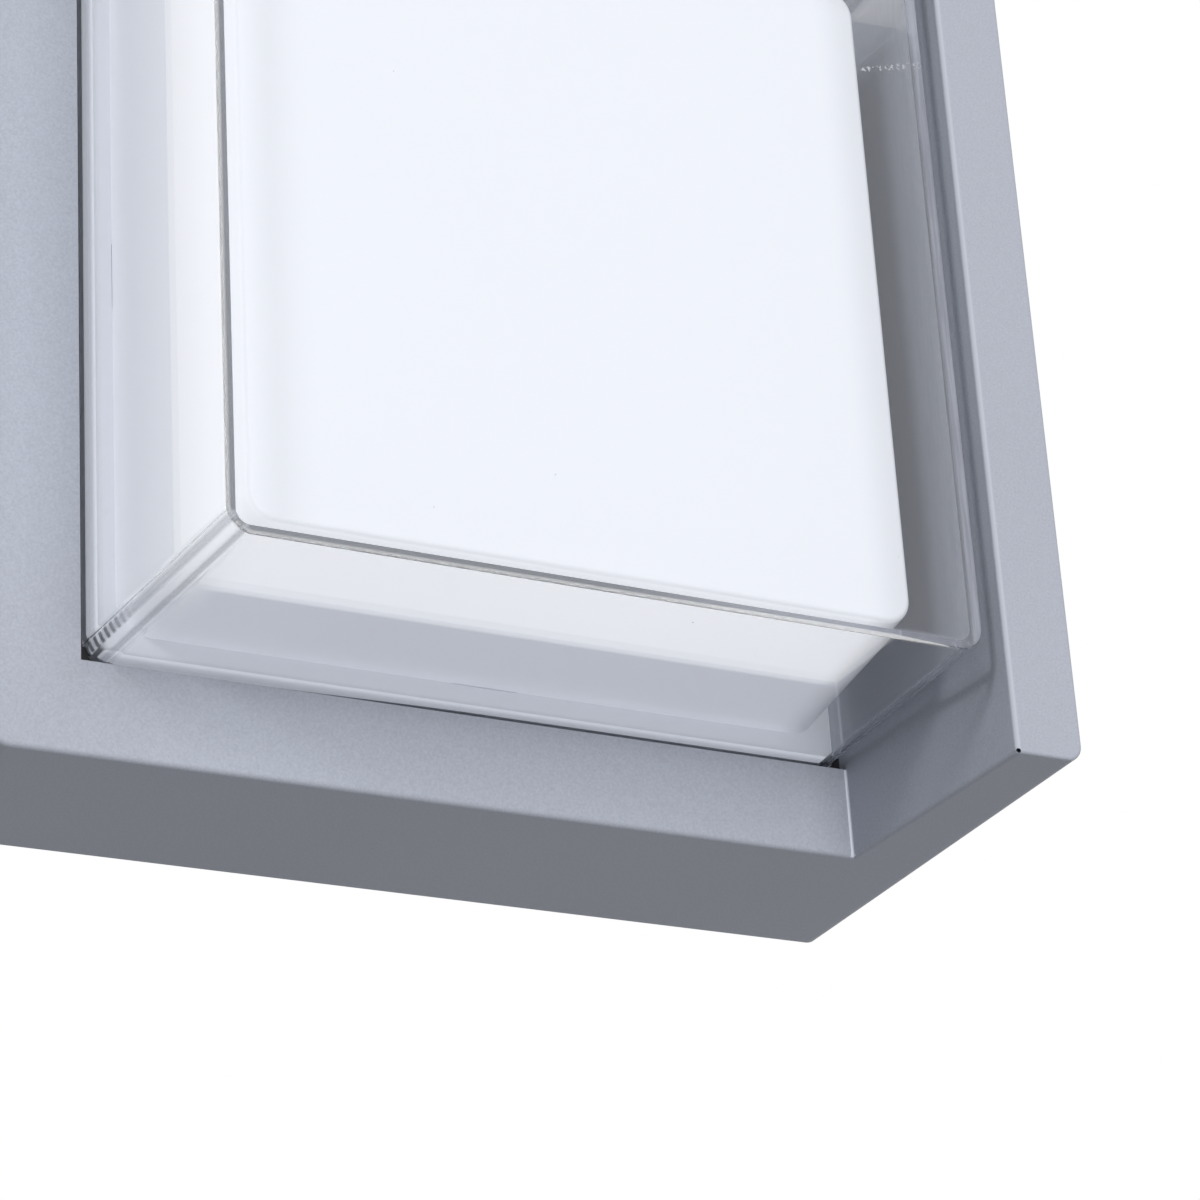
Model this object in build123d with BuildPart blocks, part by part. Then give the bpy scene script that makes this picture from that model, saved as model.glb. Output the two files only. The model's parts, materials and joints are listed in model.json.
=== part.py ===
from build123d import *
import os

os.makedirs("parts", exist_ok=True)

# The wall is the plane Y = 0. The lamp faces -Y, +X is to the viewer's right and +Z is up.
# Every depth below is a distance out from the wall, in millimetres.

# Housing
lamp_width = 180.0
lamp_height = 180.0
box_depth = 43.0
wing_stand = 53.0
sheet = 2.0
rim_clear = 0.5
side_strip = 15.3
end_strip = 17.0
wing_root = 17.7
wing_inner_lean = 0.9
wing_outer_lean = 3.4
corner_radius = 3.0
bend_radius = 1.0
edge_radius = 0.6
seal_lip = 6.7
relief_radius = 0.45

# Clear cover and its seal
cover_wall = 2.0
cover_stand = 52.6
cover_gap_left = 1.4
cover_gap_right = 0.5
cover_gap_end = 0.4
cover_side_draft = 2.85
cover_end_draft = 0.7
cover_corner = 4.5
cover_front_round = 0.6
cover_flange = 5.5
cover_flange_thick = 2.0
gasket_thick = 1.5
gasket_gap = 0.2

# White gear tray, fixed on studs of the housing
tray_sheet = 1.2
tray_proud = 0.8
tray_clear = 0.2
tray_bend = 1.0
tray_edge_clear = 1.5
stud_radius = 2.0
stud_length = 10.0
stud_clear = 0.3
stud_edge = 3.2
stud_pitch = 56.0
nut_height = 3.2
nut_radius = 4.0

# Opal diffuser and the reflector inside it
opal_wall = 2.0
opal_depth = 41.3
opal_side_margin = 3.6
opal_end_margin = 4.0
opal_side_draft = 4.8
opal_end_draft = 2.3
opal_corner = 5.0
opal_front_round = 1.0
foot_width = 12.0
foot_thick = 1.6
foot_length = 4.0
foot_hook = 0.8
foot_clear = 0.3
reflector_wall = 1.2
reflector_height = 19.2
reflector_clear = 1.0
window_margin = 7.0
rivet_radius = 1.6
rivet_head = 3.0
rivet_inset = 6.0

# Light board
board_side = 86.0
board_thick = 1.6
pad_thick = 0.5
led_side = 3.0
led_height = 0.7
led_rows = 6
led_margin = 10.5
board_screw_inset = 5.0
plug_length = 6.0
plug_width = 9.0
plug_height = 4.0
plug_inset = 1.25

# Driver, terminals and cable clamp on the back of the tray
driver_length = 96.0
driver_width = 42.0
driver_height = 20.0
driver_clear = 3.4
driver_ear = 7.0
driver_ear_thick = 3.0
lid_thick = 2.0
lid_step = 1.5
block_width = 32.0
block_tall = 20.0
block_depth = 17.0
block_above_clamp = 12.5
pole_pitch = 10.0
pole_bore = 1.7
clamp_span = 12.0
clamp_rise = 9.0
clamp_bar = 3.0
clamp_foot = 6.4
clamp_width = 9.0
clamp_edge = 9.7
lead_radius = 0.9
lead_entry = 6.0
lead_fall = 12.0
lead_pair = 4.5
lead_clear = 3.15
earth_edge = 16.4
earth_room = 6.7
lug_radius = 4.0
lug_thick = 0.8
lug_barrel = 1.5

# Wall bracket, side screws and cable grommet
bracket_sheet = 2.0
bracket_tall = 64.0
bracket_flange = 24.0
bracket_flange_tall = 30.0
running_gap = 0.3
wall_hole = 2.75
wall_hole_x = 120.0
wall_hole_z = 40.0
emboss_radius = 17.0
emboss_rise = 3.0
grommet_hole = 8.0
grommet_bore = 4.0
grommet_lip = 2.5
grommet_lip_thick = 2.0
grommet_nose = 5.0
side_screw_depth = 12.0
side_screw_radius = 2.0
side_screw_length = 12.0
side_head_radius = 3.6
side_head_height = 2.6
washer_thick = 1.0
washer_radius = 4.4
hole_clear = 0.25
thread_clear = 0.1

# Screws that hold boards, driver and clamp, and the slot in every screw head
small_screw = 1.5
small_head = 2.8
small_head_height = 1.8
terminal_screw = 1.25
terminal_head = 2.0
slot_long = 1.3
slot_wide = 0.3
slot_deep = 0.4

# Worked out from the sizes above
left = -lamp_width / 2
right = lamp_width / 2
half_height = lamp_height / 2
total_depth = box_depth + wing_stand
plate_back = box_depth - sheet
opening_left = left + side_strip
opening_right = right - wing_root
opening_half = half_height - end_strip
wing_tip_in = opening_right + wing_inner_lean
wing_tip_out = right - wing_outer_lean

cover_left = opening_left + cover_gap_left
cover_right = opening_right - cover_gap_right
cover_x = (cover_left + cover_right) / 2
cover_base_w = cover_right - cover_left
cover_base_h = 2 * (opening_half - cover_gap_end)
cover_front = box_depth + cover_stand
gasket_back = plate_back - gasket_thick
flange_back = gasket_back - cover_flange_thick

tray_face = box_depth + tray_proud
tray_back = tray_face - tray_sheet
tray_flange_back = flange_back - tray_sheet
tray_w = cover_base_w - 2 * (cover_wall + tray_clear)
tray_h = cover_base_h - 2 * (cover_wall + tray_clear)
tray_corner = cover_corner - cover_wall - tray_clear
tray_left = left + sheet + tray_edge_clear
tray_right = opening_right + seal_lip
tray_half = half_height - sheet - tray_edge_clear
stud_row_z = tray_half - stud_edge
stud_col_x = tray_left + stud_edge
studs = [(cover_x + i * stud_pitch, s * stud_row_z) for i in (-1, 0, 1) for s in (-1, 1)]
studs += [(stud_col_x, s * stud_pitch / 2) for s in (-1, 1)]

opal_base_w = tray_w - 2 * opal_side_margin
opal_base_h = tray_h - 2 * opal_end_margin
opal_front = tray_face + opal_depth

board_back = tray_face + pad_thick
board_front = board_back + board_thick
driver_back = tray_back - driver_height
driver_mid = tray_back - driver_height / 2
block_back = tray_back - block_depth
pole_depth = tray_back - block_depth / 2
earth_x = cover_x + tray_w / 2 - tray_sheet - earth_edge
barrel_length = 2 * lug_barrel
barrel_end = earth_x - nut_radius - running_gap - barrel_length
block_x = barrel_end - earth_room - block_width / 2
poles = [block_x + i * pole_pitch for i in (-1, 0, 1)]

flange_left = left + sheet + running_gap
flange_right = right - wing_outer_lean * bracket_flange / total_depth - sheet - running_gap

up = (Align.CENTER, Align.CENTER, Align.MIN)
down = (Align.CENTER, Align.CENTER, Align.MAX)


def facing(depth, x=0.0, z=0.0):
    return Plane(origin=(x, -depth, z), x_dir=(1, 0, 0), z_dir=(0, -1, 0))


def backing(depth, x=0.0, z=0.0):
    return Plane(origin=(x, -depth, z), x_dir=(1, 0, 0), z_dir=(0, 1, 0))


def sideways(x, depth, z, sign):
    return Plane(origin=(x, -depth, z), x_dir=(0, 0, 1), z_dir=(sign, 0, 0))


def outer_x(depth):
    return right - wing_outer_lean * depth / total_depth


def tapered_box(low, high, width, height, side_draft, end_draft, radius, x, mode=Mode.ADD):
    with BuildSketch(facing(low, x)) as wide:
        RectangleRounded(width, height, radius)
    with BuildSketch(facing(high, x)) as narrow:
        RectangleRounded(width - 2 * side_draft, height - 2 * end_draft, radius)
    loft([wide.sketch, narrow.sketch], mode=mode)


def screw(shank, length, head, head_height):
    Cylinder(head, head_height, align=up)
    Cylinder(shank, length, align=down)
    with Locations((0, 0, head_height)):
        Box(head * slot_long, head * slot_wide, head_height * slot_deep, align=down, mode=Mode.SUBTRACT)


def save(builder, name):
    builder.part.label = name
    export_step(builder.part, f"parts/{name}.step")


# Housing: one folded shell, wing and box together
with BuildPart() as housing:
    with BuildSketch(Plane.XY.offset(-half_height)):
        with BuildLine():
            Polyline(
                (left, -rim_clear),
                (left, -box_depth),
                (opening_right, -box_depth),
                (wing_tip_in, -total_depth),
                (wing_tip_out, -total_depth),
                (outer_x(rim_clear), -rim_clear),
                close=True,
            )
        make_face()
    extrude(amount=lamp_height)
    ends = housing.edges().filter_by(lambda e: abs(abs(e.center().Z) - half_height) < 0.01)
    fillet(ends.filter_by(lambda e: e.center().X < left + 0.01 or e.center().X > wing_tip_out), corner_radius)
    fillet(housing.edges().filter_by(Axis.Z).group_by(Axis.Y)[0].sort_by(Axis.X)[-1], edge_radius)
    ends = housing.edges().filter_by(lambda e: abs(abs(e.center().Z) - half_height) < 0.01)
    folds = ends.filter_by(
        lambda e: e.center().Y < 0.01 - box_depth and e.center().X < wing_tip_out - corner_radius)
    folds += housing.edges().filter_by(Axis.Z).group_by(Axis.Y)[0].sort_by(Axis.X)[:1]
    fillet(folds, bend_radius)
    with BuildSketch(Plane.XY.offset(-half_height + sheet)):
        with BuildLine():
            Polyline(
                (left + sheet, 0),
                (left + sheet, -plate_back),
                (opening_right + seal_lip, -plate_back),
                (opening_right + seal_lip, -box_depth),
                (opening_right + sheet, -box_depth),
                (wing_tip_in + sheet, -total_depth + sheet),
                (outer_x(total_depth - sheet) - sheet, -total_depth + sheet),
                (right - sheet, 0),
                close=True,
            )
        make_face()
    extrude(amount=lamp_height - 2 * sheet, mode=Mode.SUBTRACT)
    with BuildSketch(facing(plate_back, (opening_left + opening_right) / 2)):
        Rectangle(opening_right - opening_left, 2 * opening_half)
    extrude(amount=sheet, mode=Mode.SUBTRACT)
    corners = [Plane(origin=(wing_tip_in, -total_depth, s * half_height), z_dir=(1, 1, -s)) for s in (-1, 1)]
    with Locations(*corners):
        Cylinder(relief_radius, 4 * sheet, mode=Mode.SUBTRACT)
    with Locations(*[backing(plate_back, x, z) for x, z in studs]):
        Cylinder(stud_radius, stud_length, align=up)
    with Locations(sideways(left, side_screw_depth, 0, 1), sideways(right, side_screw_depth, 0, -1)):
        Cylinder(side_screw_radius + hole_clear, 3 * sheet, mode=Mode.SUBTRACT)
save(housing, "housing")

# Clear cover: drafted box with a flange behind the plate
with BuildPart() as clear_cover:
    side_slope = cover_side_draft / cover_stand
    end_slope = cover_end_draft / cover_stand
    behind = box_depth - flange_back
    base_w = cover_base_w + 2 * side_slope * behind
    base_h = cover_base_h + 2 * end_slope * behind
    reach = cover_front - flange_back
    tapered_box(flange_back, cover_front, base_w, base_h,
                side_slope * reach, end_slope * reach, cover_corner, cover_x)
    fillet(clear_cover.faces().sort_by(Axis.Y)[0].edges(), cover_front_round)
    with BuildSketch(facing(flange_back, (opening_left + opening_right) / 2)):
        Rectangle(opening_right - opening_left + 2 * cover_flange, 2 * (opening_half + cover_flange))
    extrude(amount=cover_flange_thick)
    inner_reach = reach - cover_wall
    tapered_box(flange_back, cover_front - cover_wall, base_w - 2 * cover_wall, base_h - 2 * cover_wall,
                side_slope * inner_reach, end_slope * inner_reach, cover_corner - cover_wall, cover_x,
                mode=Mode.SUBTRACT)
save(clear_cover, "clear_cover")

# Seal between the plate and the cover's flange
with BuildPart() as cover_gasket:
    with BuildSketch(facing(gasket_back, (opening_left + opening_right) / 2)):
        Rectangle(opening_right - opening_left + 2 * cover_flange, 2 * (opening_half + cover_flange))
    extrude(amount=gasket_thick)
    tapered_box(gasket_back, plate_back, base_w + 2 * gasket_gap, base_h + 2 * gasket_gap,
                0, 0, cover_corner, cover_x, mode=Mode.SUBTRACT)
save(cover_gasket, "cover_gasket")

# Gear tray: shallow white pan with a flange that the studs pass through
foot_x = opal_base_w / 2 - opal_wall / 2
foot_z = opal_base_h / 2 - opal_wall / 2
reflector_base_w = opal_base_w - 2 * (opal_wall + reflector_clear)
reflector_base_h = opal_base_h - 2 * (opal_wall + reflector_clear)
rivet_x = reflector_base_w / 2 - rivet_inset
rivet_z = reflector_base_h / 2 - rivet_inset
rivets = [(cover_x + i * rivet_x, j * rivet_z) for i in (-1, 1) for j in (-1, 1)]
driver_z = rivet_z - rivet_head - driver_clear - driver_width / 2
driver_bottom = driver_z - driver_width / 2
clamp_z = clamp_edge + clamp_width / 2 + tray_sheet - tray_h / 2
block_half = block_tall / 2
block_z = clamp_z + clamp_width / 2 + block_above_clamp + block_half
block_top = block_z + block_half
earth_z = (block_top + driver_bottom) / 2
lead_hole_x = cover_x - board_side / 2 - lead_clear
plug_z = driver_bottom - lead_fall
lead_zs = [plug_z + s * lead_pair / 2 for s in (-1, 1)]
board_holes = [
    (cover_x + i * (board_side / 2 - board_screw_inset), j * (board_side / 2 - board_screw_inset))
    for i in (-1, 1) for j in (-1, 1)
]
driver_holes = [(cover_x + s * (driver_length + driver_ear) / 2, driver_z) for s in (-1, 1)]
clamp_reach = clamp_span / 2 + clamp_bar
clamp_holes = [(block_x + s * (clamp_reach + clamp_foot / 2), clamp_z) for s in (-1, 1)]
fixing_x = block_x + pole_pitch / 2
with BuildPart() as gear_tray:
    with BuildSketch(facing(tray_flange_back, (tray_left + tray_right) / 2)):
        RectangleRounded(tray_right - tray_left, 2 * tray_half, corner_radius)
    extrude(amount=tray_sheet)
    with BuildSketch(facing(tray_flange_back, cover_x)):
        RectangleRounded(tray_w, tray_h, tray_corner)
    extrude(amount=tray_face - tray_flange_back)
    fillet(gear_tray.faces().sort_by(Axis.Y)[0].edges(), tray_bend)
    with BuildSketch(facing(tray_flange_back, cover_x)):
        RectangleRounded(tray_w - 2 * tray_sheet, tray_h - 2 * tray_sheet, tray_corner / 2)
    extrude(amount=tray_back - tray_flange_back, mode=Mode.SUBTRACT)
    with Locations(*[facing(tray_flange_back, x, z) for x, z in studs]):
        Cylinder(stud_radius + stud_clear, tray_sheet, align=up, mode=Mode.SUBTRACT)
    with Locations(*[facing(tray_face, cover_x + s * foot_x, 0) for s in (-1, 1)]):
        Box(foot_thick + 2 * foot_clear, foot_width + 2 * foot_clear, tray_sheet,
            align=down, mode=Mode.SUBTRACT)
    with Locations(*[facing(tray_face, cover_x, s * foot_z) for s in (-1, 1)]):
        Box(foot_width + 2 * foot_clear, foot_thick + 2 * foot_clear, tray_sheet,
            align=down, mode=Mode.SUBTRACT)
    with Locations(*[facing(tray_face, lead_hole_x, z) for z in lead_zs]):
        Cylinder(lead_radius + running_gap, tray_sheet, align=down, mode=Mode.SUBTRACT)
    with Locations(*[facing(tray_face, x, z) for x, z in rivets]):
        Cylinder(rivet_radius + hole_clear, tray_sheet, align=down, mode=Mode.SUBTRACT)
    tapped = board_holes + driver_holes + clamp_holes + [(fixing_x, block_z)]
    with Locations(*[facing(tray_face, x, z) for x, z in tapped]):
        Cylinder(small_screw + thread_clear, tray_sheet, align=down, mode=Mode.SUBTRACT)
    with Locations(backing(tray_back, earth_x, earth_z)):
        Cylinder(stud_radius, stud_length, align=up)
save(gear_tray, "gear_tray")

with BuildPart() as tray_nuts:
    for x, z in studs:
        with BuildSketch(backing(tray_flange_back, x, z)):
            RegularPolygon(nut_radius, 6)
            Circle(stud_radius + thread_clear, mode=Mode.SUBTRACT)
    extrude(amount=nut_height)
save(tray_nuts, "tray_nuts")

# Opal diffuser: drafted box with a snap foot in the middle of each side
with BuildPart() as opal_diffuser:
    tapered_box(tray_face, opal_front, opal_base_w, opal_base_h,
                opal_side_draft, opal_end_draft, opal_corner, cover_x)
    fillet(opal_diffuser.faces().sort_by(Axis.Y)[0].edges(), opal_front_round)
    inside = (opal_depth - opal_wall) / opal_depth
    tapered_box(tray_face, opal_front - opal_wall, opal_base_w - 2 * opal_wall, opal_base_h - 2 * opal_wall,
                opal_side_draft * inside, opal_end_draft * inside, opal_corner - opal_wall, cover_x,
                mode=Mode.SUBTRACT)
    hook_length = foot_length - tray_sheet - foot_clear
    for s in (-1, 1):
        with Locations(facing(tray_face, cover_x + s * foot_x, 0)):
            Box(foot_thick, foot_width, foot_length, align=down)
        with Locations(facing(tray_face - foot_length, cover_x + s * (foot_x + foot_hook / 2), 0)):
            Box(foot_thick + foot_hook, foot_width, hook_length, align=up)
        with Locations(facing(tray_face, cover_x, s * foot_z)):
            Box(foot_width, foot_thick, foot_length, align=down)
        with Locations(facing(tray_face - foot_length, cover_x, s * (foot_z + foot_hook / 2))):
            Box(foot_width, foot_thick + foot_hook, hook_length, align=up)
save(opal_diffuser, "opal_diffuser")

# Reflector: low white wall just inside the diffuser, on a frame round the light board
with BuildPart() as reflector:
    side_slope = opal_side_draft / opal_depth
    end_slope = opal_end_draft / opal_depth
    reflector_top = tray_face + reflector_height
    floor_rise = reflector_height - reflector_wall
    tapered_box(tray_face, reflector_top, reflector_base_w, reflector_base_h,
                side_slope * reflector_height, end_slope * reflector_height, opal_corner - opal_wall, cover_x)
    tapered_box(tray_face + reflector_wall, reflector_top,
                reflector_base_w - 2 * (reflector_wall + side_slope * reflector_wall),
                reflector_base_h - 2 * (reflector_wall + end_slope * reflector_wall),
                side_slope * floor_rise, end_slope * floor_rise, opal_corner - opal_wall - reflector_wall,
                cover_x, mode=Mode.SUBTRACT)
    with BuildSketch(facing(tray_face, cover_x)):
        RectangleRounded(board_side + 2 * window_margin, board_side + 2 * window_margin, corner_radius)
    extrude(amount=reflector_wall, mode=Mode.SUBTRACT)
    with Locations(*[facing(tray_face, x, z) for x, z in rivets]):
        Cylinder(rivet_radius + hole_clear, reflector_wall, align=up, mode=Mode.SUBTRACT)
save(reflector, "reflector")

with BuildPart() as reflector_rivets:
    with Locations(*[facing(tray_face + reflector_wall, x, z) for x, z in rivets]):
        Cylinder(rivet_head, rivet_radius, align=up)
        Cylinder(rivet_radius, reflector_wall + tray_sheet + rivet_radius, align=down)
    with Locations(*[facing(tray_back, x, z) for x, z in rivets]):
        Cylinder((rivet_head + rivet_radius) / 2, rivet_radius, align=down)
save(reflector_rivets, "reflector_rivets")

# Light board on its thermal pad, with a grid of light emitters
with BuildPart() as thermal_pad:
    with BuildSketch(facing(tray_face, cover_x)):
        Rectangle(board_side, board_side)
        with Locations(*[(x - cover_x, z) for x, z in board_holes]):
            Circle(small_screw + hole_clear, mode=Mode.SUBTRACT)
    extrude(amount=pad_thick)
save(thermal_pad, "thermal_pad")

with BuildPart() as led_board:
    with BuildSketch(facing(board_back, cover_x)):
        RectangleRounded(board_side, board_side, corner_radius)
        with Locations(*[(x - cover_x, z) for x, z in board_holes]):
            Circle(small_screw + hole_clear, mode=Mode.SUBTRACT)
    extrude(amount=board_thick)
save(led_board, "led_board")

with BuildPart() as led_chips:
    led_pitch = (board_side - 2 * led_margin) / (led_rows - 1)
    with BuildSketch(facing(board_front, cover_x)):
        with GridLocations(led_pitch, led_pitch, led_rows, led_rows):
            Rectangle(led_side, led_side)
    extrude(amount=led_height)
save(led_chips, "led_chips")

with BuildPart() as board_screws:
    with Locations(*[facing(board_front, x, z) for x, z in board_holes]):
        screw(small_screw, board_front - tray_back - thread_clear, small_head, small_head_height)
save(board_screws, "board_screws")

plug_left = cover_x - board_side / 2 + plug_inset
plug_depth = board_front + plug_height / 2
with BuildPart() as board_connector:
    with Locations(facing(board_front, plug_left + plug_length / 2, plug_z)):
        Box(plug_length, plug_width, plug_height, align=up)
    chamfer(board_connector.edges().filter_by(Axis.X).group_by(Axis.Y)[0], plug_height / 5)
save(board_connector, "board_connector")

# Driver: case with an ear at each end, and a lid over its back
driver_seam = driver_back + lid_thick
with BuildPart() as driver_case:
    with BuildSketch(facing(driver_seam, cover_x, driver_z)):
        RectangleRounded(driver_length, driver_width, corner_radius)
    extrude(amount=tray_back - driver_seam)
    with BuildSketch(facing(tray_back - driver_ear_thick, cover_x, driver_z)):
        SlotOverall(driver_length + 2 * driver_ear, 2 * driver_ear)
    extrude(amount=driver_ear_thick)
    with Locations(*[facing(tray_back, x, z) for x, z in driver_holes]):
        Cylinder(small_screw + hole_clear, driver_ear_thick, align=down, mode=Mode.SUBTRACT)
save(driver_case, "driver_case")

with BuildPart() as driver_lid:
    with BuildSketch(facing(driver_back, cover_x, driver_z)):
        RectangleRounded(driver_length - 2 * lid_step, driver_width - 2 * lid_step, corner_radius)
    extrude(amount=lid_thick)
    fillet(driver_lid.faces().sort_by(Axis.Y)[-1].edges(), lid_thick / 4)
save(driver_lid, "driver_lid")

with BuildPart() as driver_screws:
    with Locations(*[backing(tray_back - driver_ear_thick, x, z) for x, z in driver_holes]):
        screw(small_screw, driver_ear_thick + tray_sheet - thread_clear, small_head, small_head_height)
save(driver_screws, "driver_screws")

# Terminal block: a clamping screw above each wire bore, one fixing screw between two poles
well_depth = block_depth / 6
screw_rows = [block_z + s * block_tall / 4 for s in (-1, 1)]
wells = [(x, z) for x in poles for z in screw_rows]
fixing_seat = tray_back - block_depth / 3
with BuildPart() as terminal_block:
    with BuildSketch(facing(block_back, block_x, block_z)):
        Rectangle(block_width, block_tall)
        with Locations(*[(s * pole_pitch / 2, t * block_half) for s in (-1, 1) for t in (-1, 1)]):
            Rectangle(pole_bore, 2 * pole_bore, mode=Mode.SUBTRACT)
    extrude(amount=block_depth)
    with Locations(*[(x, -pole_depth, block_z) for x in poles]):
        Cylinder(pole_bore, block_tall, mode=Mode.SUBTRACT)
    with Locations(*[facing(block_back, x, z) for x, z in wells]):
        Cylinder(terminal_head + hole_clear, well_depth, align=up, mode=Mode.SUBTRACT)
        Cylinder(terminal_screw + thread_clear, pole_depth - block_back, align=up, mode=Mode.SUBTRACT)
    with Locations(backing(fixing_seat, fixing_x, block_z)):
        Cylinder(small_head + hole_clear, block_depth, align=up, mode=Mode.SUBTRACT)
    with Locations(backing(tray_back, fixing_x, block_z)):
        Cylinder(small_screw + hole_clear, block_depth, align=up, mode=Mode.SUBTRACT)
save(terminal_block, "terminal_block")

with BuildPart() as terminal_screws:
    with Locations(*[backing(block_back + well_depth, x, z) for x, z in wells]):
        screw(terminal_screw, pole_depth - lead_radius - block_back - well_depth,
              terminal_head, well_depth / 2)
save(terminal_screws, "terminal_screws")

with BuildPart() as terminal_fixing:
    with Locations(backing(fixing_seat, fixing_x, block_z)):
        screw(small_screw, tray_face - fixing_seat - thread_clear, small_head, small_head_height)
save(terminal_fixing, "terminal_fixing")

# Cable clamp: an arch over the cable, screwed to the tray
with BuildPart() as cable_clamp:
    with BuildSketch(Plane.XY.offset(clamp_z - clamp_width / 2)):
        with Locations((block_x, -tray_back)):
            Rectangle(2 * (clamp_reach + clamp_foot), clamp_bar, align=(Align.CENTER, Align.MIN))
            Rectangle(2 * clamp_reach, clamp_rise + clamp_bar, align=(Align.CENTER, Align.MIN))
            Rectangle(clamp_span, clamp_rise, align=(Align.CENTER, Align.MIN), mode=Mode.SUBTRACT)
    extrude(amount=clamp_width)
    with Locations(*[backing(tray_back, x, z) for x, z in clamp_holes]):
        Cylinder(small_screw + hole_clear, clamp_bar, align=up, mode=Mode.SUBTRACT)
save(cable_clamp, "cable_clamp")

with BuildPart() as clamp_screws:
    with Locations(*[backing(tray_back - clamp_bar, x, z) for x, z in clamp_holes]):
        screw(small_screw, clamp_bar + tray_sheet - thread_clear, small_head, small_head_height)
save(clamp_screws, "clamp_screws")

# Earth lug on the tray's stud
barrel_depth = tray_back - lug_barrel - thread_clear
with BuildPart() as earth_lug:
    with BuildSketch(backing(tray_back, earth_x, earth_z)):
        Circle(lug_radius)
        Rectangle(earth_x - barrel_end, 2 * lug_barrel, align=(Align.MAX, Align.CENTER))
        Circle(stud_radius + thread_clear, mode=Mode.SUBTRACT)
    extrude(amount=lug_thick)
    with Locations(sideways(barrel_end, barrel_depth, earth_z, 1)):
        Cylinder(lug_barrel, barrel_length, align=up)
save(earth_lug, "earth_lug")

with BuildPart() as earth_nut:
    with BuildSketch(backing(tray_back - lug_thick, earth_x, earth_z)):
        RegularPolygon(nut_radius, 6)
        Circle(stud_radius + thread_clear, mode=Mode.SUBTRACT)
    extrude(amount=nut_height)
save(earth_nut, "earth_nut")


def lead(points, bend):
    with BuildLine(mode=Mode.PRIVATE) as route:
        FilletPolyline(*points, radius=bend)
    start = Plane(route.wire() @ 0, z_dir=route.wire() % 0)
    with BuildSketch(start, mode=Mode.PRIVATE) as section:
        Circle(lead_radius)
    sweep(section.sketch, path=route.wire())


# Leads: driver to terminals, driver to light board, terminals to earth
lead_drop = driver_bottom - block_top
with BuildPart() as input_leads:
    for x in poles[:2]:
        start_x = x - pole_pitch / 2
        lead([(start_x, -driver_mid, driver_bottom),
              (start_x, -driver_mid, driver_bottom - lead_drop / 4),
              (x, -pole_depth, block_top + lead_drop / 4),
              (x, -pole_depth, block_top - lead_entry)], lead_entry / 2)
save(input_leads, "input_leads")

with BuildPart() as output_leads:
    for s in (-1, 1):
        start_x = plug_left + plug_length + s * lead_pair / 2
        z = plug_z - s * lead_pair / 2
        lead([(start_x, -driver_mid, driver_bottom),
              (start_x, -driver_mid, z),
              (lead_hole_x, -driver_mid, z),
              (lead_hole_x, -plug_depth, z),
              (plug_left, -plug_depth, z)], 3 * lead_radius)
save(output_leads, "output_leads")

with BuildPart() as earth_lead:
    lead([(poles[2], -pole_depth, block_top - lead_entry),
          (poles[2], -pole_depth, (block_top + earth_z) / 2),
          ((poles[2] + barrel_end) / 2, -barrel_depth, earth_z),
          (barrel_end, -barrel_depth, earth_z)], 2 * lead_radius)
save(earth_lead, "earth_lead")

# Wall bracket: folded plate with a forked flange at each end
with BuildPart() as wall_bracket:
    with BuildSketch(Plane.XY.offset(-bracket_tall / 2)):
        with BuildLine():
            Polyline(
                (flange_left, 0),
                (flange_right, 0),
                (flange_right, -bracket_flange),
                (flange_right - bracket_sheet, -bracket_flange),
                (flange_right - bracket_sheet, -bracket_sheet),
                (flange_left + bracket_sheet, -bracket_sheet),
                (flange_left + bracket_sheet, -bracket_flange),
                (flange_left, -bracket_flange),
                close=True,
            )
        make_face()
    extrude(amount=bracket_tall)
    bends = wall_bracket.edges().filter_by(Axis.Z).group_by(Axis.Y)[-1]
    fillet(bends, bracket_sheet)
    trim = (bracket_tall - bracket_flange_tall) / 2
    with Locations(*[facing(bracket_flange, 0, s * bracket_tall / 2) for s in (-1, 1)]):
        Box(lamp_width, 2 * trim, bracket_flange - 2 * bracket_sheet, align=down, mode=Mode.SUBTRACT)
    tips = wall_bracket.edges().filter_by(Axis.X).group_by(Axis.Y)[0]
    fillet(tips, corner_radius)
    with BuildSketch(Plane.YZ):
        with Locations((-side_screw_depth, 0)):
            Circle(side_screw_radius + running_gap)
            Rectangle(bracket_flange, 2 * (side_screw_radius + running_gap), align=(Align.MAX, Align.CENTER))
    extrude(amount=lamp_width, both=True, mode=Mode.SUBTRACT)
    with Locations(facing(bracket_sheet)):
        Cylinder(emboss_radius, emboss_rise, align=up)
    with Locations(facing(0)):
        Cylinder(emboss_radius - bracket_sheet, emboss_rise, align=up, mode=Mode.SUBTRACT)
        Cylinder(grommet_hole, bracket_flange, align=up, mode=Mode.SUBTRACT)
        with GridLocations(wall_hole_x, wall_hole_z, 2, 2):
            Cylinder(wall_hole, bracket_sheet, align=up, mode=Mode.SUBTRACT)
        with Locations((wall_hole_x / 3, -wall_hole_z / 4)):
            Cylinder(side_screw_radius + thread_clear, bracket_sheet, align=up, mode=Mode.SUBTRACT)
save(wall_bracket, "wall_bracket")

with BuildPart() as bracket_earth_screw:
    with Locations(facing(bracket_sheet, wall_hole_x / 3, -wall_hole_z / 4)):
        screw(side_screw_radius, bracket_sheet - thread_clear, side_head_radius, side_head_height)
save(bracket_earth_screw, "bracket_earth_screw")

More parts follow.
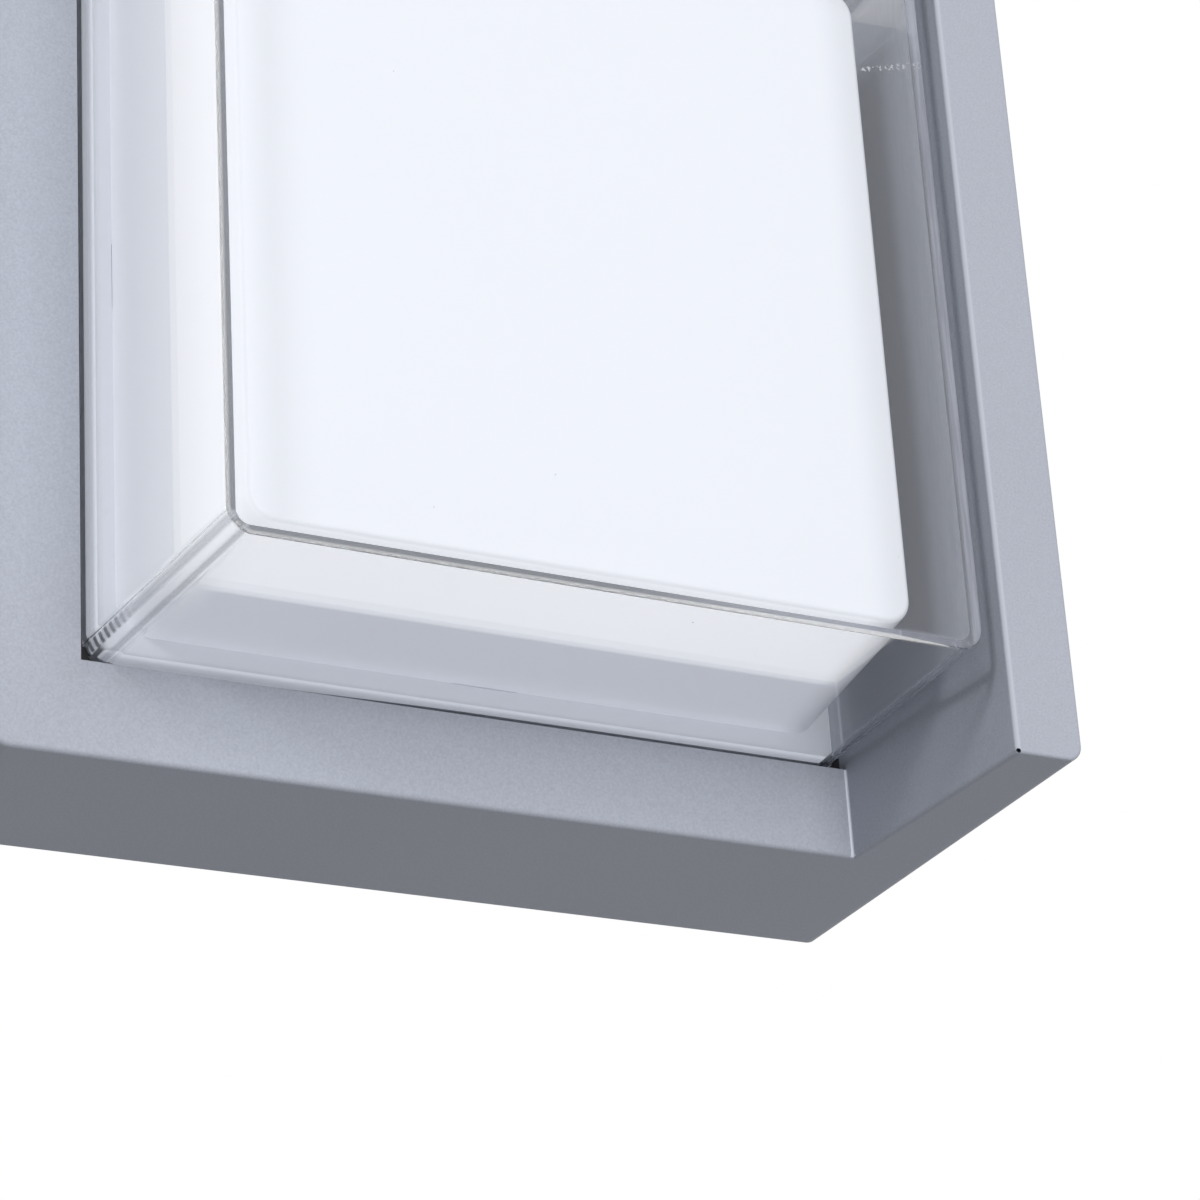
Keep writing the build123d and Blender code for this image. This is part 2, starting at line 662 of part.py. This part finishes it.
# Rubber grommet snapped into the raised middle of the bracket
with BuildPart() as cable_grommet:
    lip = grommet_hole + grommet_lip
    throat = emboss_rise + bracket_sheet
    front_lip = throat + grommet_lip_thick
    with BuildSketch(Plane.XY):
        with BuildLine():
            Polyline(
                (grommet_bore, -emboss_rise + grommet_lip_thick),
                (lip, -emboss_rise + grommet_lip_thick),
                (lip, -emboss_rise),
                (grommet_hole - thread_clear, -emboss_rise),
                (grommet_hole - thread_clear, -throat),
                (lip, -throat),
                (lip, -front_lip),
                (grommet_bore + grommet_lip, -front_lip - grommet_nose),
                (grommet_bore, -front_lip - grommet_nose),
                close=True,
            )
        make_face()
    revolve(axis=Axis.Y)
save(cable_grommet, "cable_grommet")

# Side screws, each with a sealing washer outside and a nut inside the forked flange
seats = [
    (left, flange_left + bracket_sheet + running_gap, 1),
    (outer_x(side_screw_depth - washer_radius), flange_right - bracket_sheet - running_gap, -1),
]
with BuildPart() as side_screws:
    for seat, nut, inward in seats:
        with Locations(sideways(seat - inward * washer_thick, side_screw_depth, 0, -inward)):
            screw(side_screw_radius, side_screw_length, side_head_radius, side_head_height)
save(side_screws, "side_screws")

with BuildPart() as side_washers:
    for seat, nut, inward in seats:
        with BuildSketch(sideways(seat, side_screw_depth, 0, -inward)):
            Circle(washer_radius)
            Circle(side_screw_radius + thread_clear, mode=Mode.SUBTRACT)
    extrude(amount=washer_thick)
save(side_washers, "side_washers")

with BuildPart() as side_nuts:
    for seat, nut, inward in seats:
        with BuildSketch(sideways(nut, side_screw_depth, 0, inward)):
            RegularPolygon(nut_radius, 6)
            Circle(side_screw_radius + thread_clear, mode=Mode.SUBTRACT)
    extrude(amount=nut_height)
save(side_nuts, "side_nuts")
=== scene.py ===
import bpy
import bmesh
import json
from mathutils import Matrix, Vector

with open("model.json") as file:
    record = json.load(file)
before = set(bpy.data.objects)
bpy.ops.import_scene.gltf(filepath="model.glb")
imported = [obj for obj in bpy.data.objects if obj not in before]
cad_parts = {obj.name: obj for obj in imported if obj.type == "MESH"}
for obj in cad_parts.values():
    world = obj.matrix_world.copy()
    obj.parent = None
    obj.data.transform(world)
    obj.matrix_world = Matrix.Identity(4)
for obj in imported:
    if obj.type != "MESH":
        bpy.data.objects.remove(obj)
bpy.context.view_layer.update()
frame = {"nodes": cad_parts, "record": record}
scene = bpy.context.scene
scene.view_settings.view_transform = "Standard"
print("frame loaded")


class Wire:  # an output socket; arithmetic on it adds Math nodes
    def __init__(self, tree, out):
        self.tree, self.out = tree, out

    def add(self, kind, settings, values, take=0):
        node = self.tree.nodes.new(kind)
        for name, value in settings.items():
            setattr(node, name, value)
        for name, value in values.items():
            if isinstance(value, Wire):
                self.tree.links.new(value.out, node.inputs[name])
            else:
                node.inputs[name].default_value = value
        return Wire(self.tree, node.outputs[take])

    def maths(self, operation, first, second=0.0):
        return self.add("ShaderNodeMath", {"operation": operation}, {0: first, 1: second})

    def __add__(self, other):
        return self.maths("ADD", self, other)

    def __radd__(self, other):
        return self.maths("ADD", other, self)

    def __sub__(self, other):
        return self.maths("SUBTRACT", self, other)

    def __rsub__(self, other):
        return self.maths("SUBTRACT", other, self)

    def __mul__(self, other):
        return self.maths("MULTIPLY", self, other)

    def __rmul__(self, other):
        return self.maths("MULTIPLY", other, self)

    def __gt__(self, other):
        return self.maths("GREATER_THAN", self, other)

    def __lt__(self, other):
        return self.maths("LESS_THAN", self, other)

    def __abs__(self):
        return self.maths("ABSOLUTE", self)

    def most(self, other):  # the larger of the two
        return self.maths("MAXIMUM", self, other)

    def mix(self, first, second):  # self is the factor
        values = {0: self, 6: first, 7: second}
        for key in (6, 7):
            if not isinstance(values[key], Wire):
                values[key] = (*values[key], 1.0)
        return self.add("ShaderNodeMix", {"data_type": "RGBA"}, values, 2)

    def noise(self, scale, detail=2.0):  # self is a place
        return self.add("ShaderNodeTexNoise", {}, {"Vector": self, "Scale": scale, "Detail": detail})

    def cells(self, scale, take="Distance"):
        return self.add("ShaderNodeTexVoronoi", {}, {"Vector": self, "Scale": scale}, take)

    def part(self, axis):
        return self.add("ShaderNodeSeparateXYZ", {}, {0: self}, axis)

    def span(self, low, high, first=0.0, second=1.0):  # a smooth step from low to high
        return self.add("ShaderNodeMapRange", {"interpolation_type": "SMOOTHSTEP"},
                        {"Value": self, "From Min": low, "From Max": high, "To Min": first, "To Max": second})


def link(wire, shader, name):
    wire.tree.links.new(wire.out, shader.inputs[name])


def newFinish(slot):
    material = bpy.data.materials.new(slot)
    material.use_nodes = True
    tree = material.node_tree
    place = Wire(tree, tree.nodes.new("ShaderNodeTexCoord").outputs["Object"])
    finishes[slot] = material
    return tree.nodes["Principled BSDF"], place


# Roughness and bump from fine grain and broad patches, and colour from two shades unless one is given
def dress(shader, place, look, colour=None):
    grain = place.noise(look["grain"], 3.0) - 0.5
    patch = place.noise(look["patch"]) - 0.5
    if colour is None:
        tone = grain * look["grainTone"] + patch * look["patchTone"] + 0.5
        colour = tone.mix(look["dark"], look["light"])
    link(colour, shader, "Base Color")
    link((grain + patch) * look["roughVary"] + look["rough"], shader, "Roughness")
    bump = place.add("ShaderNodeBump", {}, {"Strength": look["bump"], "Distance": look["height"], "Height": grain})
    link(bump, shader, "Normal")
    shader.inputs["Metallic"].default_value = look["metal"]


finishes = {}

# Camera
cameraLook = {
    "place": (-0.296355, -0.621379, -0.344661),
    "forward": (0.441529, 0.797668, 0.410827),
    "up": (-0.142333, -0.389809, 0.90983),
    "lens": 121.827,
    "sensor": 36.0,
}
cameraData = bpy.data.cameras.new("camera")
cameraData.lens = cameraLook["lens"]
cameraData.sensor_width = cameraLook["sensor"]
camera = bpy.data.objects.new("camera", cameraData)
scene.collection.objects.link(camera)
ahead, upward = Vector(cameraLook["forward"]), Vector(cameraLook["up"])
turned = Matrix((ahead.cross(upward), upward, -ahead)).transposed()
camera.matrix_world = Matrix.Translation(cameraLook["place"]) @ turned.to_4x4()
scene.camera = camera
print("camera set")

# Studio: even fill, a soft lamp from the upper left and a wide one in front
studioLook = {"fill": 0.182, "tint": (0.98, 0.99, 1.0)}
world = bpy.data.worlds.new("studio")
scene.world = world
world.use_nodes = True
background = world.node_tree.nodes["Background"]
rays = world.node_tree.nodes.new("ShaderNodeLightPath").outputs
seen = Wire(world.node_tree, rays["Is Camera Ray"])
for kind in ("Is Glossy Ray", "Is Transmission Ray"):
    seen = seen.most(Wire(world.node_tree, rays[kind]))
link(seen.mix(studioLook["tint"], (1.0, 1.0, 1.0)), background, "Color")
link(seen * (1.0 - studioLook["fill"]) + studioLook["fill"], background, "Strength")

lamps = [
    {"name": "key", "place": (-1.27, -0.98, 0.74), "size": 0.35, "power": 8.0},
    {"name": "front", "place": (-0.05, -1.8, 0.0), "size": 0.9, "power": 23.4},
]
for lampLook in lamps:
    lampData = bpy.data.lights.new(lampLook["name"], "AREA")
    lampData.energy = lampLook["power"]
    lampData.size = lampLook["size"]
    lamp = bpy.data.objects.new(lampLook["name"], lampData)
    scene.collection.objects.link(lamp)
    lamp.location = lampLook["place"]
    lamp.visible_camera = lamp.visible_glossy = lamp.visible_transmission = False
    lamp.rotation_euler = (-Vector(lampLook["place"])).to_track_quat("-Z", "Y").to_euler()

# Floor: a pale disc below the camera
floorLook = {
    "radius": 0.9, "sides": 96, "level": -1.0, "dark": (0.74, 0.75, 0.76), "light": (0.8, 0.8, 0.81),
    "patch": 3.0, "rough": 0.8,
}
floorMesh = bpy.data.meshes.new("floor")
shape = bmesh.new()
bmesh.ops.create_circle(shape, cap_ends=True, segments=floorLook["sides"], radius=floorLook["radius"])
shape.to_mesh(floorMesh)
shape.free()
floor = bpy.data.objects.new("floor", floorMesh)
floor.location.z = floorLook["level"]
scene.collection.objects.link(floor)
shader, place = newFinish("floor")
link(place.noise(floorLook["patch"]).mix(floorLook["dark"], floorLook["light"]), shader, "Base Color")
shader.inputs["Roughness"].default_value = floorLook["rough"]
floorMesh.materials.append(finishes.pop("floor"))
print("studio lit")

# Housing: satin powder coat with a fine metallic fleck, a painted highlight as a bright hairline at the right ends
# of the plate's strips, and a lighter painted highlight along the wing's front bend
silverLook = {
    "dark": (0.377, 0.399, 0.458), "light": (0.472, 0.499, 0.573),
    "grain": 2500.0, "mottle": 900.0, "patch": 14.0, "grainTone": 1.7, "mottleTone": 0.35, "patchTone": 0.35,
    "seamHighlightColour": (0.78, 0.81, 0.88), "lineFrom": 0.0719, "lineTo": 0.0726, "lineFront": -0.0434, "lineBack": -0.0426,
    "lineEnd": 0.0731, "bend": (0.51, 0.54, 0.61), "bendAcross": (0.074, 0.0737), "bendDepth": (-0.0952, -0.0955),
    "rough": 0.55, "roughVary": 0.16, "bump": 0.4, "height": 0.00006, "metal": 0.04, "shine": 0.2,
}
shader, place = newFinish("silver_paint")
tone = 0.5
for layer in ("grain", "mottle", "patch"):
    tone = tone + (place.noise(silverLook[layer], 3.0) - 0.5) * silverLook[layer + "Tone"]
across, depth, height = place.part(0), place.part(1), place.part(2)
# Painted highlight: a bright hairline at the right ends of the plate's strips, for the light their end edges catch
seamHighlight = (across > silverLook["lineFrom"]) * (across < silverLook["lineTo"]) * (
    depth > silverLook["lineFront"]) * (depth < silverLook["lineBack"]) * (abs(height) > silverLook["lineEnd"])
# Painted highlight: lighter along the wing's front bend, which faces the light from the upper left
bendHighlight = across.span(*silverLook["bendAcross"]) * depth.span(*silverLook["bendDepth"])
coatAndBendHighlight = bendHighlight.mix(tone.mix(silverLook["dark"], silverLook["light"]), silverLook["bend"])
dress(shader, place, silverLook, seamHighlight.mix(coatAndBendHighlight, silverLook["seamHighlightColour"]))
shader.inputs["Specular IOR Level"].default_value = silverLook["shine"]

# Clear cover: polished acrylic; its walls cast hardly any shadow, its thick edges a faint one
clearLook = {
    "colour": (0.985, 0.99, 0.995), "rough": 0.0, "ior": 1.49, "pass": (0.97, 0.975, 0.98),
    "middle": -0.00075, "front": -0.0956, "halfWide": 0.0697, "wideDraft": 0.0542,
    "halfTall": 0.0719, "tallDraft": 0.0133, "wall": 0.0019, "skin": 0.0002, "corner": 0.0046,
    "edge": 0.2, "farEdge": 0.6, "far": 0.06, "edgeShade": 0.95,
    "dust": 260.0, "dustSize": 0.05, "dustShare": 0.03, "dustCover": 0.6, "dustColour": (0.75, 0.76, 0.78),
    "scuff": 1600.0, "scuffShare": 0.56, "scuffCover": 0.5, "scuffFrom": (0.055, 0.0554),
    "scuffLevel": 0.0243, "scuffSlope": 0.3, "scuffWide": (0.0009, 0.0002),
    # The stripe and rim entries below set the painted shade at the rounded corners and the right front edge
    "stripe": 0.42, "stripeSide": 0.0018, "stripeSideWide": (0.0017, 0.0005),
    "stripeEnd": 0.0023, "stripeEndWide": (0.0011, 0.0003),
    "rimShadeColour": (0.43, 0.45, 0.52), "rimShade": (0.48, 0.68), "rimSide": (0.0032, 0.0016), "rimEnd": (0.0022, 0.0012),
    "rimEndShare": 0.6, "rimFrom": 0.02, "streak": 700.0, "streakSpan": (0.3, 0.7), "streakStretch": (2.0, 2.0, 0.1),
    "rimShadeReach": 0.42, "rimShadeReachSide": (0.012, 0.002),
    "dashColour": (0.06, 0.06, 0.07), "dash": 0.75, "dashes": 2990.0, "dashSpan": (-0.6, 0.6),
    "dashWide": (0.0016, 0.001), "dashFrom": (0.034, 0.05),
}
shader, place = newFinish("clear_acrylic")
tree = place.tree
shader.inputs["Base Color"].default_value = (*clearLook["colour"], 1.0)
shader.inputs["Roughness"].default_value = clearLook["rough"]
shader.inputs["IOR"].default_value = clearLook["ior"]
shader.inputs["Transmission Weight"].default_value = 1.0
across, depth, height = place.part(0), place.part(1), place.part(2)
fromFront = depth - clearLook["front"]  # distances in from the outer faces
fromSide = clearLook["halfWide"] + fromFront * clearLook["wideDraft"] - abs(across - clearLook["middle"])
fromEnd = clearLook["halfTall"] + fromFront * clearLook["tallDraft"] - abs(height)
wall = clearLook["wall"]
thick = ((fromFront < wall) + (fromSide < wall) + (fromEnd < wall)) > 1.5

# Light that runs along inside the walls comes out at their edges, more so at the right
rays = tree.nodes.new("ShaderNodeLightPath").outputs
casting = Wire(tree, rays["Is Shadow Ray"]).most(Wire(tree, rays["Is Diffuse Ray"]))
within = Wire(tree, tree.nodes.new("ShaderNodeNewGeometry").outputs["Backfacing"])
piped = across.span(0.0, clearLook["far"], clearLook["edge"], clearLook["farEdge"])
straight = casting.most(within * Wire(tree, rays["Is Reflection Ray"]) * piped)
mirrored = place.add("ShaderNodeFresnel", {}, {
    "IOR": within * (1.0 / clearLook["ior"] - clearLook["ior"]) + clearLook["ior"]})
kept = 1.0 - (1.0 - mirrored) * (1.0 - casting * thick * clearLook["edgeShade"])
through = place.add("ShaderNodeMixShader", {}, {
    0: kept, 1: place.add("ShaderNodeBsdfTransparent", {}, {"Color": (*clearLook["pass"], 1.0)}),
    2: place.add("ShaderNodeBsdfTransparent", {}, {"Color": (0.0, 0.0, 0.0, 1.0)}),
})
glassOut = place.add("ShaderNodeMixShader", {}, {0: straight, 1: Wire(tree, shader.outputs[0]), 2: through})

# Dust specks and one scuffed row on the front
onFront = fromFront < clearLook["skin"]
dust = (place.cells(clearLook["dust"]) < clearLook["dustSize"]) * (
    place.cells(clearLook["dust"], "Color").part(0) < clearLook["dustShare"]) * clearLook["dustCover"]
row = abs(height - across * clearLook["scuffSlope"] - clearLook["scuffLevel"]).span(*clearLook["scuffWide"])
scuff = onFront * row * across.span(*clearLook["scuffFrom"]) * (
    place.noise(clearLook["scuff"]) > clearLook["scuffShare"]) * clearLook["scuffCover"]

# Painted shade: grey stripes along the rounded corners and a streaked grey band down the right front edge, standing
# in for the way the thick acrylic bends the light there; dark dashes near the base
around = fromSide - fromEnd
onCorner = fromSide + fromEnd < clearLook["corner"]
fromStripe = abs(around + clearLook["stripeSide"])
stripe = fromStripe.span(*clearLook["stripeSideWide"]).most(
    abs(around - clearLook["stripeEnd"]).span(*clearLook["stripeEndWide"])) * onCorner * clearLook["stripe"]
dashes = fromStripe.span(*clearLook["dashWide"]) * onCorner * fromFront.span(*clearLook["dashFrom"]) * (
    place.maths("SINE", fromFront * clearLook["dashes"]).span(*clearLook["dashSpan"])) * clearLook["dash"]
streak = place.add("ShaderNodeVectorMath", {"operation": "MULTIPLY"}, {
    0: place, 1: clearLook["streakStretch"]}).noise(clearLook["streak"])
rimShade = fromSide.span(*clearLook["rimSide"]).most(fromEnd.span(*clearLook["rimEnd"]) * clearLook["rimEndShare"])
rimShade = rimShade.most(fromSide.span(*clearLook["rimShadeReachSide"]) * clearLook["rimShadeReach"])
rimShade = rimShade * onFront * across.span(clearLook["rimFrom"], clearLook["far"]) * (
    streak.span(*clearLook["streakSpan"], *clearLook["rimShade"]))
for marks, colour in ((dust.most(scuff), "dustColour"), (stripe.most(rimShade), "rimShadeColour"), (dashes, "dashColour")):
    glassOut = place.add("ShaderNodeMixShader", {}, {
        0: marks * (1.0 - casting), 1: glassOut,
        2: place.add("ShaderNodeBsdfDiffuse", {}, {"Color": (*clearLook[colour], 1.0)}),
    })
tree.links.new(glassOut.out, tree.nodes["Material Output"].inputs["Surface"])

# Opal diffuser: white, with painted shade making it greyer where the reflector stands behind its sides
opalLook = {
    "dark": (0.83, 0.845, 0.9), "light": (0.86, 0.875, 0.93), "rearShade": (0.78, 0.795, 0.88),
    "front": -0.0851, "base": -0.0436, "edge": (-0.0638, -0.0622), "soft": (-0.082, -0.046),
    "middle": -0.00075, "half": 0.0616, "draft": 0.116, "flatFrom": (0.001, 0.008), "sideFrom": (-0.085, -0.0842),
    "glow": (0.92, 0.94, 1.0), "frontGlow": 0.13, "sideGlow": 0.54, "rearGlow": 0.3,
    "farSide": (0.052, 0.0605), "farGlow": 0.08, "grain": 900.0, "patch": 9.0,
    "rough": 0.32, "roughVary": 0.06, "bump": 0.08, "height": 0.00004, "metal": 0.0,
}
shader, place = newFinish("opal_acrylic")
across, depth = place.part(0), place.part(1)
inward = (depth - opalLook["front"]) * opalLook["draft"]
white = place.noise(opalLook["patch"]).mix(opalLook["dark"], opalLook["light"])
flat = (opalLook["half"] + inward - abs(across - opalLook["middle"])).span(*opalLook["flatFrom"])
sharp, soft = depth.span(*opalLook["edge"]), depth.span(*opalLook["soft"])
rearShadeZone = soft + flat * (sharp - soft)  # sharp above and below, soft at the left and right
dress(shader, place, opalLook, (rearShadeZone * flat).mix(white, opalLook["rearShade"]))
# Painted light: a glow, strongest on the sides, weaker at the rear and to the right, for light scattered through the
# opal
glow = depth.span(*opalLook["sideFrom"], opalLook["frontGlow"], opalLook["sideGlow"])
glow = glow + rearShadeZone * (opalLook["rearGlow"] - glow)
glow = glow * (across - inward).span(*opalLook["farSide"], 1.0, opalLook["farGlow"]) * (depth < opalLook["base"])
link(glow.mix((0.0, 0.0, 0.0), opalLook["glow"]), shader, "Emission Color")
shader.inputs["Emission Strength"].default_value = 1.0

# Gear tray: white paint; a painted glow on its walls and face stands in for light piped through the clear wall round
# it
trayLook = {
    "dark": (0.78, 0.8, 0.86), "light": (0.83, 0.85, 0.91), "glow": (0.86, 0.9, 1.0),
    "middle": -0.00075, "halfWide": 0.0699, "halfTall": 0.06995,
    "sideFrom": -0.0394, "endSpan": (-0.045, 0.0), "endFrom": (-0.0402, -0.0414),
    "face": -0.0434, "wallGlow": 0.4, "faceGlow": 0.076,
    "grain": 700.0, "patch": 20.0, "grainTone": 0.5, "patchTone": 0.7,
    "rough": 0.38, "roughVary": 0.1, "bump": 0.2, "height": 0.00008, "metal": 0.0,
}
shader, place = newFinish("white_paint")
dress(shader, place, trayLook)
across, depth, height = place.part(0), place.part(1), place.part(2)
sides = (abs(across - trayLook["middle"]) > trayLook["halfWide"]) * (depth < trayLook["sideFrom"])
endFrom = across.span(*trayLook["endSpan"], *trayLook["endFrom"])
ends = (abs(height) > trayLook["halfTall"]) * (depth < endFrom)
glow = (sides.most(ends) * trayLook["wallGlow"]).most((depth < trayLook["face"]) * trayLook["faceGlow"])
link(glow.mix((0.0, 0.0, 0.0), trayLook["glow"]), shader, "Emission Color")
shader.inputs["Emission Strength"].default_value = 1.0

# Plain finishes, one for each remaining slot
plainLooks = {
    "white_plastic": {"dark": (0.8, 0.8, 0.79), "light": (0.87, 0.87, 0.86), "grain": 1500.0, "patch": 30.0,
                      "grainTone": 0.4, "patchTone": 0.6, "rough": 0.45, "roughVary": 0.1,
                      "bump": 0.1, "height": 0.00004, "metal": 0.0},
    "black_rubber": {"dark": (0.012, 0.012, 0.013), "light": (0.03, 0.03, 0.032), "grain": 1800.0, "patch": 60.0,
                     "grainTone": 0.9, "patchTone": 0.9, "rough": 0.72, "roughVary": 0.2,
                     "bump": 0.4, "height": 0.00008, "metal": 0.0},
    "board_white": {"dark": (0.78, 0.79, 0.77), "light": (0.86, 0.87, 0.85), "grain": 1200.0, "patch": 40.0,
                    "grainTone": 0.3, "patchTone": 0.9, "rough": 0.35, "roughVary": 0.1,
                    "bump": 0.1, "height": 0.00003, "metal": 0.0},
    "emitter_yellow": {"dark": (0.72, 0.5, 0.06), "light": (0.86, 0.66, 0.14), "grain": 2500.0, "patch": 300.0,
                       "grainTone": 0.5, "patchTone": 0.8, "rough": 0.3, "roughVary": 0.1,
                       "bump": 0.15, "height": 0.00003, "metal": 0.0},
    "pad_grey": {"dark": (0.36, 0.37, 0.4), "light": (0.46, 0.47, 0.5), "grain": 1600.0, "patch": 50.0,
                 "grainTone": 0.8, "patchTone": 0.6, "rough": 0.8, "roughVary": 0.15,
                 "bump": 0.3, "height": 0.00006, "metal": 0.0},
    "case_grey": {"dark": (0.66, 0.67, 0.67), "light": (0.75, 0.76, 0.76), "grain": 1400.0, "patch": 25.0,
                  "grainTone": 0.7, "patchTone": 0.5, "rough": 0.5, "roughVary": 0.14,
                  "bump": 0.3, "height": 0.00008, "metal": 0.0},
    "terminal_grey": {"dark": (0.5, 0.5, 0.48), "light": (0.6, 0.6, 0.58), "grain": 1100.0, "patch": 60.0,
                      "grainTone": 0.5, "patchTone": 0.8, "rough": 0.42, "roughVary": 0.12,
                      "bump": 0.15, "height": 0.00005, "metal": 0.0},
    "plain_brass": {"dark": (0.62, 0.44, 0.17), "light": (0.78, 0.58, 0.26), "grain": 1800.0, "patch": 120.0,
                    "grainTone": 0.5, "patchTone": 1.0, "rough": 0.32, "roughVary": 0.2,
                    "bump": 0.2, "height": 0.00004, "metal": 1.0},
    "tinned_copper": {"dark": (0.56, 0.54, 0.51), "light": (0.72, 0.71, 0.68), "grain": 1500.0, "patch": 200.0,
                      "grainTone": 0.5, "patchTone": 1.0, "rough": 0.35, "roughVary": 0.2,
                      "bump": 0.2, "height": 0.00004, "metal": 1.0},
}
for slot, look in plainLooks.items():
    shader, place = newFinish(slot)
    dress(shader, place, look)

# Zinc-plated steel: overlapping flat crystals with a faint drawn grain
zincLook = {
    "dark": (0.5, 0.51, 0.52), "light": (0.7, 0.71, 0.71), "crystal": 260.0, "crystalTone": 0.6,
    "grain": 1500.0, "grainTone": 0.4, "patch": 60.0,
    "rough": 0.36, "roughVary": 0.16, "bump": 0.12, "height": 0.00004, "metal": 1.0,
}
shader, place = newFinish("zinc_steel")
crystal = place.cells(zincLook["crystal"], "Color").part(0)
tone = crystal * zincLook["crystalTone"] + place.noise(zincLook["grain"]) * zincLook["grainTone"]
dress(shader, place, zincLook, tone.mix(zincLook["dark"], zincLook["light"]))

# Leads: each pair in two colours, the earth lead striped
leadLook = {
    "grain": 1500.0, "patch": 200.0,
    "rough": 0.4, "roughVary": 0.12, "bump": 0.1, "height": 0.00004, "metal": 0.0,
    "brown": (0.13, 0.05, 0.022), "blue": (0.05, 0.16, 0.45), "inputSplit": 0.0145,
    "red": (0.5, 0.03, 0.025), "black": (0.022, 0.022, 0.024), "outputSplit": (-0.0365, -0.003),
    "green": (0.05, 0.3, 0.06), "yellow": (0.72, 0.6, 0.05), "stripe": 520.0, "stripeSlope": 0.6, "stripeShare": 0.2,
}
shader, place = newFinish("lead_brown")
dress(shader, place, leadLook, (place.part(0) > leadLook["inputSplit"]).mix(leadLook["brown"], leadLook["blue"]))
shader, place = newFinish("lead_white")
outer = (place.part(0) > leadLook["outputSplit"][0]).most(place.part(2) < leadLook["outputSplit"][1])
dress(shader, place, leadLook, outer.mix(leadLook["red"], leadLook["black"]))
shader, place = newFinish("lead_green")
along = place.part(0) + place.part(1) * leadLook["stripeSlope"] + place.part(2)
wave = place.maths("SINE", along * leadLook["stripe"])
dress(shader, place, leadLook, (wave > leadLook["stripeShare"]).mix(leadLook["green"], leadLook["yellow"]))
print("finishes made", len(finishes))

for part in frame["record"]["subparts"]:
    item = frame["nodes"][part["node"]]
    for spot in item.material_slots:
        spot.material = finishes[part["material_slot"]]
print("finishes placed")
